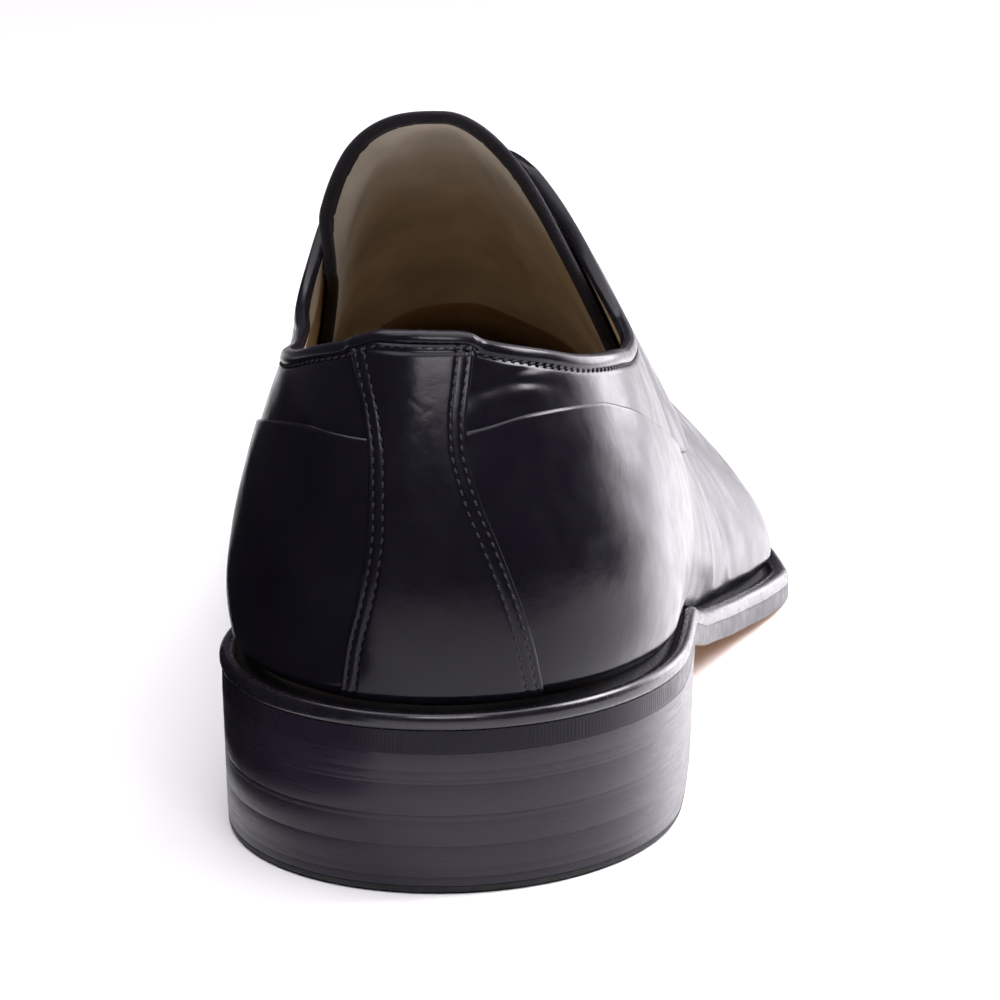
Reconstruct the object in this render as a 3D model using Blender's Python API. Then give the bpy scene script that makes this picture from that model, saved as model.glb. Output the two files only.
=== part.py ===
# Right shoe of a pair of black leather dress shoes, built piece by piece.
# Sizes are in millimetres from the back of the heel (y) and the floor (z).
# The toe points to +Y and the outer side of the foot to +X.
import bmesh
import bpy
import numpy as np

MM = 0.001

# Round ends of the last in plan: centres and reach of the feather line beyond them
HEEL_CENTRE = 47.0
HEEL_REACH = 44.6
HEEL_BULGE = 2.4
HEEL_FULLNESS = 2.1
TOE_CENTRE = 182.0
TOE_REACH = 115.0
TOE_BULGE = 1.2
TOE_SIDE = 2.3
TOE_SWING = -28.0
TOE_SWING_POWER = 1.15
# Roundness of the top of every section
CROWN = 2.1
# Turn of the whole shoe that brings the toe in line with the heel
TURN = np.radians(5.2)

# Layers under the upper, and the small gap kept between curved pieces
GAP = 0.3
WALL = 2.0
SOLE_THICK = 3.4
WELT_THICK = 2.3
WELT_BEAD = 0.4
WELT_FLANGE = 9.0
INSOLE_THICK = 2.0
INSOLE_CLEAR = 3.1
EDGE_BEVEL = 0.6

# Stacked heel
LIFTS = 4
TOP_PIECE_THICK = 2.4
HEEL_TAPER = 0.7
BREAST = 76.0

# Raised edges on the outside of the wall
SEAM_STEP = 0.5
FACING_STEP = 1.2
STRIP_THICK = 1.1
TONGUE_THICK = 1.9
TONGUE_GAP = 0.6

# Spread of the flat chart on which panels are drawn: feather line at the rim, ridge in the middle
SPREAD = 60.0
HEEL_QUARTER = 55.0
TOE_QUARTER = 110.0
SIDE_START = HEEL_QUARTER
SIDE_END = HEEL_QUARTER + TOE_CENTRE - HEEL_CENTRE

# Sections of the last, heel to toe
LAST_COLUMNS = ("y", "lateral", "medial", "lean", "lateral_side", "medial_side", "bulge")
LAST_ROWS = (
    (47.0, 32.7, 32.7, -1.5, 1.34, 1.34, 2.8),
    (76.0, 31.8, 32.0, -5.0, 1.38, 1.75, 3.0),
    (95.0, 30.6, 30.2, -8.2, 1.3, 3.2, 3.4),
    (125.0, 30.8, 36.5, -9.5, 1.2, 2.4, 2.8),
    (148.0, 33.2, 45.2, -11.0, 1.1, 1.9, 2.4),
    (165.0, 36.2, 49.4, -12.5, 1.08, 1.65, 2.5),
    (182.0, 38.2, 51.4, -13.5, 1.1, 1.5, 2.5),
)

# Highest line of the last: instep, vamp and toe
RIDGE_COLUMNS = ("y", "height")
RIDGE_ROWS = (
    (0.0, 105.0),
    (60.0, 105.0),
    (82.0, 104.4),
    (95.0, 101.8),
    (107.0, 97.2),
    (120.0, 90.0),
    (135.0, 80.4),
    (150.0, 71.0),
    (165.0, 62.6),
    (180.0, 55.6),
    (205.0, 48.0),
    (232.0, 43.0),
    (262.0, 39.5),
    (298.0, 36.0),
)

# Underside of the sole: heel seat, arch, flat tread, toe spring; and how far the sole stands out
SOLE_COLUMNS = ("y", "height", "margin")
SOLE_ROWS = (
    (0.0, 21.0, 2.4),
    (47.0, 20.6, 2.4),
    (76.0, 18.6, 2.2),
    (98.0, 13.4, 2.2),
    (115.0, 9.0, 2.5),
    (130.0, 6.0, 2.9),
    (142.0, 4.2, 3.4),
    (160.0, 2.2, 3.6),
    (180.0, 0.6, 3.7),
    (196.0, 0.0, 3.8),
    (212.0, 0.0, 3.9),
    (230.0, 0.8, 4.1),
    (250.0, 2.9, 4.3),
    (275.0, 6.2, 4.3),
    (302.0, 10.5, 4.3),
)

# Top edge of the quarters, by station from the back seam round one side
TOPLINE_COLUMNS = ("station", "lateral", "medial")
TOPLINE_ROWS = (
    (0.0, 79.6, 79.6),
    (9.0, 79.4, 79.4),
    (15.0, 78.2, 78.2),
    (28.0, 75.8, 75.6),
    (38.0, 73.6, 73.2),
    (55.0, 71.0, 70.6),
    (69.0, 68.8, 68.8),
    (83.0, 67.8, 68.0),
    (91.0, 69.0, 68.8),
    (97.0, 72.4, 70.6),
    (102.0, 77.4, 73.4),
    (106.0, 83.2, 77.2),
    (111.0, 89.4, 83.0),
)

# Seam between quarters and lower panel
SEAM_COLUMNS = ("station", "lateral", "medial")
SEAM_ROWS = (
    (0.0, 65.6, 65.6),
    (10.0, 66.6, 65.2),
    (23.0, 68.0, 65.4),
    (37.0, 67.2, 63.6),
    (47.0, 64.5, 61.4),
    (58.0, 60.2, 58.5),
    (72.0, 55.8, 55.0),
    (88.0, 50.2, 50.0),
    (104.0, 45.0, 45.0),
)

# Facings over the tongue: half the gap between them
FACING_COLUMNS = ("y", "half_gap")
FACING_ROWS = (
    (112.0, 8.5),
    (124.0, 6.8),
    (138.0, 5.2),
    (148.0, 4.5),
)
THROAT_END = 152.0
QUARTER_POINT = 155.5

# Hourglass strip: half width and middle by height
STRIP_COLUMNS = ("height", "half_width", "middle")
STRIP_ROWS = (
    (27.0, 14.6, 3.2),
    (36.0, 13.2, 3.2),
    (41.0, 11.9, 3.2),
    (46.0, 10.5, 2.9),
    (51.0, 9.2, 2.3),
    (56.0, 8.1, 1.3),
    (60.0, 7.5, 0.6),
    (64.0, 7.1, 0.0),
    (68.0, 7.3, -0.45),
    (73.0, 8.2, -1.0),
    (78.0, 9.1, -1.5),
    (82.0, 9.7, -1.8),
)

# Tongue: top edge, sides and front end on the chart
TONGUE_TOP = 89.0
TONGUE_SIDE = 40.0
TONGUE_SIDE_TOP = 97.0
TONGUE_FRONT = 172.0

# Stations that match along the feather line, the seam and the collar
SIDE_MARK = 84.0
FEATHER_MARK = 112.0
TAB_MARK = 104.0
CORNER_MARK = 111.0
# Bow of the quarter's front edge, as a share of the way to its point
FRONT_BOW = 0.62

# Number of facets along each stretch
REAR_STEPS = 10
SIDE_STEPS = 5
TAB_STEPS = 5
FRONT_STEPS = 22
COUNTS = (REAR_STEPS, SIDE_STEPS, TAB_STEPS, FRONT_STEPS)
LOWER_STEPS = 7
QUARTER_STEPS = 5
STRIP_ACROSS = 9
STRIP_UP = 13
TONGUE_STEPS = 15
WHOLE_MARKS = (0.0, HEEL_QUARTER, SIDE_END, SIDE_END + TOE_QUARTER)
WHOLE_COUNTS = (12, 18, 14)
HEEL_MARKS = (0.0, HEEL_QUARTER, SIDE_START + BREAST - HEEL_CENTRE)
HEEL_COUNTS = (12, 4)

# Belly of the wall low on each section, scaled so that its fullest place counts one
BELLY_SCALE = 12.2
BELLY_POWER = 4

# Where the raised edges fade out: clear of the strip, along the side and up the panel
STRIP_EDGE = 8.5
STRIP_FADE = 4.0
TAB_FADE = 3.0
THROAT_FADE = 3.0
QUARTER_LEAD = 4.0
PANEL_FADE_START = 0.45
SEAM_GROOVE = 0.995
STRIP_END_CLEAR = 0.4
BEAD_ROUND = 0.7
BEAD_SHOULDER = 0.1

COLLECTION = "dress_shoe_right"
LEATHER = (0.012, 0.011, 0.014, 1.0)
SOCK = (0.30, 0.17, 0.08, 1.0)
EDGE = (0.02, 0.018, 0.022, 1.0)
RUBBER = (0.015, 0.015, 0.015, 1.0)
LEATHER_ROUGH = 0.3
EDGE_ROUGH = 0.4
SOCK_ROUGH = 0.6
RUBBER_ROUGH = 0.6


def column(columns, rows, name):
    return np.array([row[columns.index(name)] for row in rows])


def slopes(places, values, flat_ends):
    steps = np.diff(places)
    rates = np.diff(values) / steps
    tilt = np.zeros(len(places))
    for k in range(1, len(places) - 1):
        before, after = rates[k - 1], rates[k]
        if before * after > 0:
            near = 2 * steps[k] + steps[k - 1]
            far = steps[k] + 2 * steps[k - 1]
            tilt[k] = (near + far) / (near / before + far / after)
    if not flat_ends:
        tilt[0] = rates[0]
        tilt[-1] = rates[-1]
    return tilt


# Smooth curve through a column of a table that never overshoots its rows
def curve(columns, rows, name, at, flat_ends=False):
    places = column(columns, rows, columns[0])
    values = column(columns, rows, name)
    tilt = slopes(places, values, flat_ends)
    at = np.clip(np.asarray(at, dtype=float), places[0], places[-1])
    k = np.clip(np.searchsorted(places, at) - 1, 0, len(places) - 2)
    span = places[k + 1] - places[k]
    share = (at - places[k]) / span
    rise = share * share * (3 - 2 * share)
    start = share * (1 - share) ** 2 * span * tilt[k]
    finish = share * share * (share - 1) * span * tilt[k + 1]
    return values[k] + (values[k + 1] - values[k]) * rise + start + finish


def last_value(name, at):
    return curve(LAST_COLUMNS, LAST_ROWS, name, at, flat_ends=True)


def sole_under(y):
    return curve(SOLE_COLUMNS, SOLE_ROWS, "height", y)


def sole_margin(y):
    return curve(SOLE_COLUMNS, SOLE_ROWS, "margin", y)


def welt_under(y):
    return sole_under(y) + SOLE_THICK + GAP


def feather(y):
    return welt_under(y) + WELT_THICK + GAP


def ridge(y):
    return curve(RIDGE_COLUMNS, RIDGE_ROWS, "height", y)


# Place on the chart of a station along one side, at a share of the way from ridge to feather line
def chart(station, share, side):
    station, share = np.broadcast_arrays(np.asarray(station, float), np.asarray(share, float))
    heel = np.clip(station / HEEL_QUARTER, 0, 1) * np.pi / 2
    toe = np.clip((station - SIDE_END) / TOE_QUARTER, 0, 1) * np.pi / 2
    along = HEEL_CENTRE + np.clip(station - SIDE_START, 0, TOE_CENTRE - HEEL_CENTRE)
    across = side * share * SPREAD * np.sin(heel) * np.cos(toe)
    beyond = share * SPREAD * (np.sin(toe) - np.cos(heel) * (station < SIDE_START))
    return np.stack([across, along + beyond], axis=-1)


# Outer surface of the upper at a place on the chart
def last_point(place):
    across, down = place[..., 0], place[..., 1]
    along = np.clip(down, HEEL_CENTRE, TOE_CENTRE)
    beyond = down - along
    reach = np.maximum(np.hypot(across, beyond), 1e-9)
    share = np.clip(reach / SPREAD, 0, 1)
    lift = (1 - share) * np.pi / 2
    outer = across >= 0
    steep = np.where(outer, last_value("lateral_side", along), last_value("medial_side", along))
    toward_toe = np.clip(beyond / reach, 0, 1) ** 2
    steep = steep + (TOE_SIDE - steep) * toward_toe
    wide = np.clip(np.cos(lift), 0, 1) ** (2 / CROWN)
    high = np.clip(np.sin(lift), 0, 1) ** (2 / steep)
    belly = BELLY_SCALE * high * (1 - high) ** BELLY_POWER
    half = np.where(outer, last_value("lateral", along), last_value("medial", along))
    half = half * wide + last_value("bulge", along) * belly
    rear_wide = np.clip(1 - high ** HEEL_FULLNESS, 0, 1) ** (1 / HEEL_FULLNESS)
    rear = HEEL_REACH * rear_wide + HEEL_BULGE * belly
    front = TOE_REACH * wide + TOE_BULGE * belly
    y = along + np.where(beyond < 0, rear, front) * beyond / reach
    foot = feather(y)
    z = foot + (ridge(y) - foot) * high
    swing = TOE_SWING * wide * np.clip(beyond / reach, 0, 1) ** TOE_SWING_POWER
    x = last_value("lean", along) * high ** 2 + swing + half * across / reach
    return np.stack([x, y, z], axis=-1)


def last_normal(place):
    step = 0.05
    right = np.array([step, 0.0])
    ahead = np.array([0.0, step])
    tangent_a = last_point(place + right) - last_point(place - right)
    tangent_b = last_point(place + ahead) - last_point(place - ahead)
    normal = np.cross(tangent_a, tangent_b)
    return normal / np.maximum(np.linalg.norm(normal, axis=-1, keepdims=True), 1e-12)


# Surface set off from the last, outwards when positive
def shell(place, off):
    off = np.asarray(off, float)
    return last_point(place) + last_normal(place) * off[..., None]


# Share on each station where the surface reaches a given height
def share_at_height(station, height, side):
    low = np.zeros(len(station))
    high = np.ones(len(station))
    for _ in range(40):
        middle = (low + high) / 2
        above = last_point(chart(station, middle, side))[:, 2] > height
        low = np.where(above, middle, low)
        high = np.where(above, high, middle)
    return (low + high) / 2


# Share on each station where the surface lies a given distance beside the ridge
def share_beside_ridge(station, gap, side):
    low = np.zeros(len(station))
    high = np.ones(len(station))
    for _ in range(40):
        middle = (low + high) / 2
        place = last_point(chart(station, middle, side))
        centre = last_point(chart(station, np.zeros(len(station)), side))
        inside = np.abs(place[:, 0] - centre[:, 0]) < gap
        low = np.where(inside, middle, low)
        high = np.where(inside, high, middle)
    return (low + high) / 2


def even(path, count):
    run = np.concatenate([[0.0], np.cumsum(np.linalg.norm(np.diff(path, axis=0), axis=1))])
    at = np.linspace(0, run[-1], count + 1)
    return np.stack([np.interp(at, run, path[:, k]) for k in range(path.shape[1])], axis=1)


def rounded(path, times):
    path = path.copy()
    for _ in range(times):
        path[1:-1] = (path[:-2] + 2 * path[1:-1] + path[2:]) / 4
    return path


def joined(pieces, counts):
    parts = [even(piece, count)[:-1] for piece, count in zip(pieces, counts)]
    return np.concatenate(parts + [pieces[-1][-1:]])


def stretch(start, finish, count=40):
    return np.linspace(start, finish, count)


# Bottom edge of the upper on one side, from the back seam to the toe
def feather_path(side):
    marks = (0.0, HEEL_QUARTER, SIDE_MARK, FEATHER_MARK, SIDE_END + TOE_QUARTER)
    pieces = [chart(stretch(a, b), 1.0, side) for a, b in zip(marks[:-1], marks[1:])]
    return joined(pieces, COUNTS)


def height_piece(columns, rows, start, finish, side):
    station = stretch(start, finish)
    name = "lateral" if side > 0 else "medial"
    height = curve(columns, rows, name, station)
    return chart(station, share_at_height(station, height, side), side)


# Seam line round the heel and side, then the free front edge of the quarter up to the throat
def seam_path(side):
    marks = (0.0, HEEL_QUARTER, SIDE_MARK, TAB_MARK)
    pieces = [
        height_piece(SEAM_COLUMNS, SEAM_ROWS, a, b, side) for a, b in zip(marks[:-1], marks[1:])
    ]
    corner = pieces[-1][-1]
    point = np.array([0.0, QUARTER_POINT])
    bow = np.array([corner[0] * FRONT_BOW, corner[1] + (QUARTER_POINT - corner[1]) * FRONT_BOW])
    share = stretch(0, 1)[:, None]
    front = (1 - share) ** 2 * corner + 2 * share * (1 - share) * bow + share ** 2 * point
    return joined(pieces + [front], COUNTS)


# Collar from the back seam to the front corner of the quarter, then the facing down to the throat
def rim_path(side):
    marks = (0.0, HEEL_QUARTER, SIDE_MARK, CORNER_MARK)
    pieces = [
        height_piece(TOPLINE_COLUMNS, TOPLINE_ROWS, a, b, side)
        for a, b in zip(marks[:-1], marks[1:])
    ]
    y = stretch(FACING_ROWS[0][0], FACING_ROWS[-1][0])
    station = SIDE_START + y - HEEL_CENTRE
    gap = curve(FACING_COLUMNS, FACING_ROWS, "half_gap", y)
    facing = chart(station, share_beside_ridge(station, gap, side), side)
    throat = np.array([[0.0, THROAT_END]])
    front = even(np.concatenate([pieces[-1][-1:], facing, throat]), 80)
    return joined(pieces + [rounded(front, 6)], COUNTS)


def both_sides(path):
    lateral = path(1)
    medial = path(-1)
    return np.concatenate([lateral, medial[-2:0:-1]])


def start_clean():
    for item in list(bpy.data.objects):
        bpy.data.objects.remove(item, do_unlink=True)
    group = bpy.data.collections.new(COLLECTION)
    bpy.context.scene.collection.children.link(group)
    return group


def material(name, colour, rough):
    made = bpy.data.materials.new(name)
    made.use_nodes = True
    shader = made.node_tree.nodes["Principled BSDF"]
    shader.inputs["Base Color"].default_value = colour
    shader.inputs["Roughness"].default_value = rough
    return made


# Solid from a loop of grid rows: each row runs along the piece, rows go once round its section
def ring_solid(name, rows, closed_along):
    rows = np.asarray(rows)
    turns, length = rows.shape[:2]
    faces = []
    spans = length if closed_along else length - 1
    for r in range(turns):
        after = (r + 1) % turns
        for c in range(spans):
            ahead = (c + 1) % length
            here, there = r * length, after * length
            faces.append((here + c, here + ahead, there + ahead, there + c))
    if not closed_along:
        faces.append(tuple(r * length for r in range(turns)))
        faces.append(tuple(r * length + length - 1 for r in reversed(range(turns))))
    return name, rows.reshape(-1, 3), faces


# Plate bounded by an outline: edge rows round it, with caps laddered from side to side
def plate_solid(name, rows):
    rows = np.asarray(rows)
    layers, length = rows.shape[:2]
    faces = []
    for r in range(layers - 1):
        for c in range(length):
            ahead = (c + 1) % length
            here, there = r * length, (r + 1) * length
            faces.append((here + c, here + ahead, there + ahead, there + c))
    half = length // 2
    for layer, turn in ((0, 1), (layers - 1, -1)):
        base = layer * length
        for c in range(half):
            here, there = base + c, base + c + 1
            mirror_here = base + (length - c) % length
            mirror_there = base + length - c - 1
            corners = [here, mirror_here, mirror_there, there]
            kept = [k for n, k in enumerate(corners) if k not in corners[:n]]
            faces.append(tuple(kept[::turn]))
    return name, rows.reshape(-1, 3), faces


# Plan outline of the bottom, grown outwards by a margin
def plan_path(side, grow, marks, counts):
    pieces = [stretch(a, b) for a, b in zip(marks[:-1], marks[1:])]
    parts = [even(piece[:, None], count)[:-1, 0] for piece, count in zip(pieces, counts)]
    station = np.concatenate(parts + [[marks[-1]]])
    heel = np.clip(station / HEEL_QUARTER, 0, 1) * np.pi / 2
    toe = np.clip((station - SIDE_END) / TOE_QUARTER, 0, 1) * np.pi / 2
    along = HEEL_CENTRE + np.clip(station - SIDE_START, 0, TOE_CENTRE - HEEL_CENTRE)
    rear = (HEEL_REACH + grow(0.0)) * np.cos(heel) * (station < SIDE_START)
    front = (TOE_REACH + grow(TOE_CENTRE + TOE_REACH)) * np.sin(toe)
    y = along - rear + front
    half = last_value("lateral" if side > 0 else "medial", along) + grow(y)
    swing = TOE_SWING * np.sin(toe) ** TOE_SWING_POWER
    x = side * half * np.sin(heel) * np.cos(toe) + swing
    return np.stack([x, y], axis=1)


def outline(grow, marks=WHOLE_MARKS, counts=WHOLE_COUNTS):
    lateral = plan_path(1, grow, marks, counts)
    medial = plan_path(-1, grow, marks, counts)
    return np.concatenate([lateral, medial[-2:0:-1]])


def at_height(plan, height):
    return np.concatenate([plan, np.broadcast_to(height, plan.shape[:1])[:, None]], axis=1)


def upper_solid():
    bottom = both_sides(feather_path)
    seam = both_sides(seam_path)
    top = both_sides(rim_path)
    seam_point = last_point(seam)
    strip_middle = curve(STRIP_COLUMNS, STRIP_ROWS, "middle", SEAM_ROWS[0][1])
    side_way = np.abs(seam_point[:, 0] - strip_middle)
    count = len(bottom)
    half = count // 2
    index = np.minimum(np.arange(count), count - np.arange(count))
    tab = REAR_STEPS + SIDE_STEPS + TAB_STEPS
    clear_of_strip = np.clip((side_way - STRIP_EDGE) / STRIP_FADE, 0, 1)
    behind_tab = np.clip((tab - index) / TAB_FADE, 0, 1)
    low_step = SEAM_STEP * clear_of_strip * behind_tab
    past_tab = np.clip((index - tab) / QUARTER_LEAD + 1, 0, 1)
    before_throat = np.clip((half - index) / THROAT_FADE, 0, 1)
    quarter_step = FACING_STEP * past_tab * before_throat
    outer, inner = [], []
    for k in range(LOWER_STEPS + 1):
        share = k / LOWER_STEPS
        place = bottom + (seam - bottom) * share * SEAM_GROOVE
        fade = np.clip((share - PANEL_FADE_START) / (1 - PANEL_FADE_START), 0, 1) ** 2
        outer.append(shell(place, low_step * fade))
        inner.append(shell(place, np.full(count, -WALL)))
    for k in range(QUARTER_STEPS + 1):
        share = k / QUARTER_STEPS
        place = seam + (top - seam) * share
        outer.append(shell(place, quarter_step * (1 - share)))
        if k > 0:
            inner.append(shell(place, np.full(count, -WALL)))
    inner[0][:, 2] = outer[0][:, 2]
    return ring_solid("upper", outer + inner[::-1], True)


def strip_solid():
    low = feather(0.0) + STRIP_END_CLEAR
    height = np.linspace(low, TOPLINE_ROWS[0][1] - STRIP_END_CLEAR, STRIP_UP)
    across = np.linspace(-1, 1, STRIP_ACROSS)
    rows_out, rows_in = [], []
    for z in height:
        share = share_at_height(np.zeros(1), np.array([z]), 1)[0]
        wide = last_point(chart(HEEL_QUARTER, share, 1))[0] - last_point(chart(0.0, share, 1))[0]
        middle = curve(STRIP_COLUMNS, STRIP_ROWS, "middle", z)
        reach = middle + across * curve(STRIP_COLUMNS, STRIP_ROWS, "half_width", z)
        station = np.arcsin(np.abs(reach) / wide) / (np.pi / 2) * HEEL_QUARTER
        place = chart(station, np.full(len(across), share), np.sign(reach))
        rows_in.append(shell(place, np.full(len(across), GAP)))
        rows_out.append(shell(place, np.full(len(across), GAP + STRIP_THICK)))
    inside = np.array(rows_in).transpose(1, 0, 2)
    outside = np.array(rows_out).transpose(1, 0, 2)
    return ring_solid("back_strip", np.concatenate([outside, inside[::-1]]), False)


def tongue_solid():
    across = np.linspace(-1, 1, TONGUE_STEPS)
    along = np.linspace(0, 1, TONGUE_STEPS)
    off_out = -(WALL + TONGUE_GAP)
    rows_out, rows_in = [], []
    for u in across:
        top = TONGUE_TOP + (TONGUE_SIDE_TOP - TONGUE_TOP) * u ** 2
        place = np.stack(
            [np.full(len(along), u * TONGUE_SIDE), top + (TONGUE_FRONT - top) * along], axis=1
        )
        rows_out.append(shell(place, np.full(len(along), off_out)))
        rows_in.append(shell(place, np.full(len(along), off_out - TONGUE_THICK)))
    return ring_solid("tongue", np.array(rows_out + rows_in[::-1]), False)


def insole_solid():
    inset = outline(lambda y: -INSOLE_CLEAR + 0.0 * y)
    under = feather(inset[:, 1])
    return plate_solid("insole", [at_height(inset, under), at_height(inset, under + INSOLE_THICK)])


def welt_solid():
    edge = outline(lambda y: sole_margin(y) + WELT_BEAD)
    shoulder = outline(lambda y: sole_margin(y) - BEAD_SHOULDER)
    flange = outline(lambda y: -WELT_FLANGE + 0.0 * y)
    rows = (
        at_height(flange, welt_under(flange[:, 1])),
        at_height(shoulder, welt_under(shoulder[:, 1])),
        at_height(edge, welt_under(edge[:, 1]) + BEAD_ROUND),
        at_height(edge, welt_under(edge[:, 1]) + WELT_THICK - BEAD_ROUND),
        at_height(shoulder, welt_under(shoulder[:, 1]) + WELT_THICK),
        at_height(flange, welt_under(flange[:, 1]) + WELT_THICK),
    )
    return ring_solid("welt", rows, True)


def outsole_solid():
    edge = outline(sole_margin)
    under = outline(lambda y: sole_margin(y) - EDGE_BEVEL)
    rows = (
        at_height(under, sole_under(under[:, 1])),
        at_height(edge, sole_under(edge[:, 1]) + EDGE_BEVEL),
        at_height(edge, sole_under(edge[:, 1]) + SOLE_THICK),
    )
    return plate_solid("outsole", rows)


def heel_outline(inset):
    return outline(lambda y: sole_margin(y) - inset, HEEL_MARKS, HEEL_COUNTS)


def heel_solids():
    tall = sole_under(0.0)
    solids = []
    lift = (tall - TOP_PIECE_THICK) / LIFTS
    cuts = [TOP_PIECE_THICK + lift * k for k in range(LIFTS)] + [tall]
    low = heel_outline(HEEL_TAPER + EDGE_BEVEL)
    side = heel_outline(HEEL_TAPER)
    rows = (
        at_height(low, 0.0),
        at_height(side, EDGE_BEVEL),
        at_height(side, TOP_PIECE_THICK - GAP / 2),
    )
    solids.append(plate_solid("heel_top_piece", rows))
    for k in range(LIFTS):
        under, over = cuts[k], cuts[k + 1]
        lower = heel_outline(HEEL_TAPER * (1 - under / tall))
        upper = heel_outline(HEEL_TAPER * (1 - over / tall))
        top = np.full(len(upper), over - GAP / 2)
        if k == LIFTS - 1:
            top = sole_under(upper[:, 1]) - GAP
        rows = (at_height(lower, under), at_height(upper, top))
        solids.append(plate_solid(f"heel_lift_{LIFTS - k}", rows))
    return solids


def add_solid(group, solid, shift, made):
    name, points, faces = solid
    mesh = bpy.data.meshes.new(name)
    mesh.from_pydata(((points - shift) * MM).tolist(), [], faces)
    shape = bmesh.new()
    shape.from_mesh(mesh)
    bmesh.ops.recalc_face_normals(shape, faces=shape.faces)
    bmesh.ops.triangulate(shape, faces=shape.faces)
    shape.to_mesh(mesh)
    shape.free()
    mesh.materials.append(made)
    item = bpy.data.objects.new(name, mesh)
    group.objects.link(item)
    return item


def main():
    group = start_clean()
    leather = ("black_calf", LEATHER, LEATHER_ROUGH)
    edge = ("sole_edge", EDGE, EDGE_ROUGH)
    sock = ("sock_leather", SOCK, SOCK_ROUGH)
    rubber = ("rubber", RUBBER, RUBBER_ROUGH)
    solids = [
        (upper_solid(), leather),
        (strip_solid(), leather),
        (tongue_solid(), leather),
        (insole_solid(), sock),
        (welt_solid(), edge),
        (outsole_solid(), edge),
    ]
    for solid in heel_solids():
        finish = rubber if solid[0] == "heel_top_piece" else edge
        solids.append((solid, finish))
    spin = np.array([[np.cos(TURN), np.sin(TURN), 0], [-np.sin(TURN), np.cos(TURN), 0], [0, 0, 1]])
    solids = [((solid[0], solid[1] @ spin.T, solid[2]), finish) for solid, finish in solids]
    everything = np.concatenate([solid[1] for solid, _ in solids])
    shift = (everything.min(axis=0) + everything.max(axis=0)) / 2
    shift[2] = 0.0
    for solid, finish in solids:
        add_solid(group, solid, shift, material(f"{solid[0]}_{finish[0]}", finish[1], finish[2]))


main()
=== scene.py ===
import math

import bmesh
import bpy
import numpy as np
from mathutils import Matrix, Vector


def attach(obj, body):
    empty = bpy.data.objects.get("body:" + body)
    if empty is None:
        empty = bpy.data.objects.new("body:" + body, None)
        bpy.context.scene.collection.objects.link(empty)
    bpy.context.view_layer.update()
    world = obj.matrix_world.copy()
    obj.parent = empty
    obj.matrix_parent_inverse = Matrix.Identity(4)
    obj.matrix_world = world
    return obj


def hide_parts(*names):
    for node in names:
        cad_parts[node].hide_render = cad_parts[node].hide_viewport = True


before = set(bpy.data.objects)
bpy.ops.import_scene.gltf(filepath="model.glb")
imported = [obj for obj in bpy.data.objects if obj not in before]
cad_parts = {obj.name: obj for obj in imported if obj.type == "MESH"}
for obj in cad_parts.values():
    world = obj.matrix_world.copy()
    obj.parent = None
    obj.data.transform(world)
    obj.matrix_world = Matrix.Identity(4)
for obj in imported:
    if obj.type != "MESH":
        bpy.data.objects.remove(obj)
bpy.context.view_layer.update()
print("frame loaded", sorted(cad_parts))

# Shape of the last in millimetres: y from the back of the heel, z from the floor, +x to the outer side
last = {
    "heelCentre": 47.0, "heelReach": 44.6, "heelBulge": 2.4, "heelFullness": 2.1,
    "toeCentre": 182.0, "toeReach": 115.0, "toeBulge": 1.2, "toeSide": 2.3,
    "toeSwing": -28.0, "toeSwingPower": 1.15,
    "crown": 2.1, "bellyScale": 12.2, "bellyPower": 4,
    "turn": math.radians(5.2), "planMiddle": (9.22921, 151.03466),
    "spread": 60.0, "heelQuarter": 55.0, "toeQuarter": 110.0, "probe": 0.05,
    "y": (47.0, 76.0, 95.0, 125.0, 148.0, 165.0, 182.0),
    "lateral": (32.7, 31.8, 30.6, 30.8, 33.2, 36.2, 38.2),
    "medial": (32.7, 32.0, 30.2, 36.5, 45.2, 49.4, 51.4),
    "lean": (-1.5, -5.0, -8.2, -9.5, -11.0, -12.5, -13.5),
    "lateralSide": (1.34, 1.38, 1.3, 1.2, 1.1, 1.08, 1.1),
    "medialSide": (1.34, 1.75, 3.2, 2.4, 1.9, 1.65, 1.5),
    "bulge": (2.8, 3.0, 3.4, 2.8, 2.4, 2.5, 2.5),
    "ridgeY": (0, 60, 82, 95, 107, 120, 135, 150, 165, 180, 205, 232, 262, 298),
    "ridgeZ": (105, 105, 104.4, 101.8, 97.2, 90, 80.4, 71, 62.6, 55.6, 48, 43, 39.5, 36),
}
bottomStack = {
    "y": (0, 47, 76, 98, 115, 130, 142, 160, 180, 196, 212, 230, 250, 275, 302),
    "under": (21, 20.6, 18.6, 13.4, 9, 6, 4.2, 2.2, 0.6, 0, 0, 0.8, 2.9, 6.2, 10.5),
    "margin": (2.4, 2.4, 2.2, 2.2, 2.5, 2.9, 3.4, 3.6, 3.7, 3.8, 3.9, 4.1, 4.3, 4.3, 4.3),
    "soleThick": 3.4, "weltThick": 2.3, "gap": 0.3,
}
sideStart = last["heelQuarter"]
sideEnd = last["heelQuarter"] + last["toeCentre"] - last["heelCentre"]
toeStation = sideEnd + last["toeQuarter"]
wholeMarks = (0.0, last["heelQuarter"], sideEnd, toeStation)
millimetre = 0.001


def blend(start, end, share):
    return start + (end - start) * share


def bell(value):
    return np.exp(-value ** 2)


def unit(vectors):
    return vectors / np.maximum(np.linalg.norm(vectors, axis=-1, keepdims=True), 1e-12)


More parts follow.
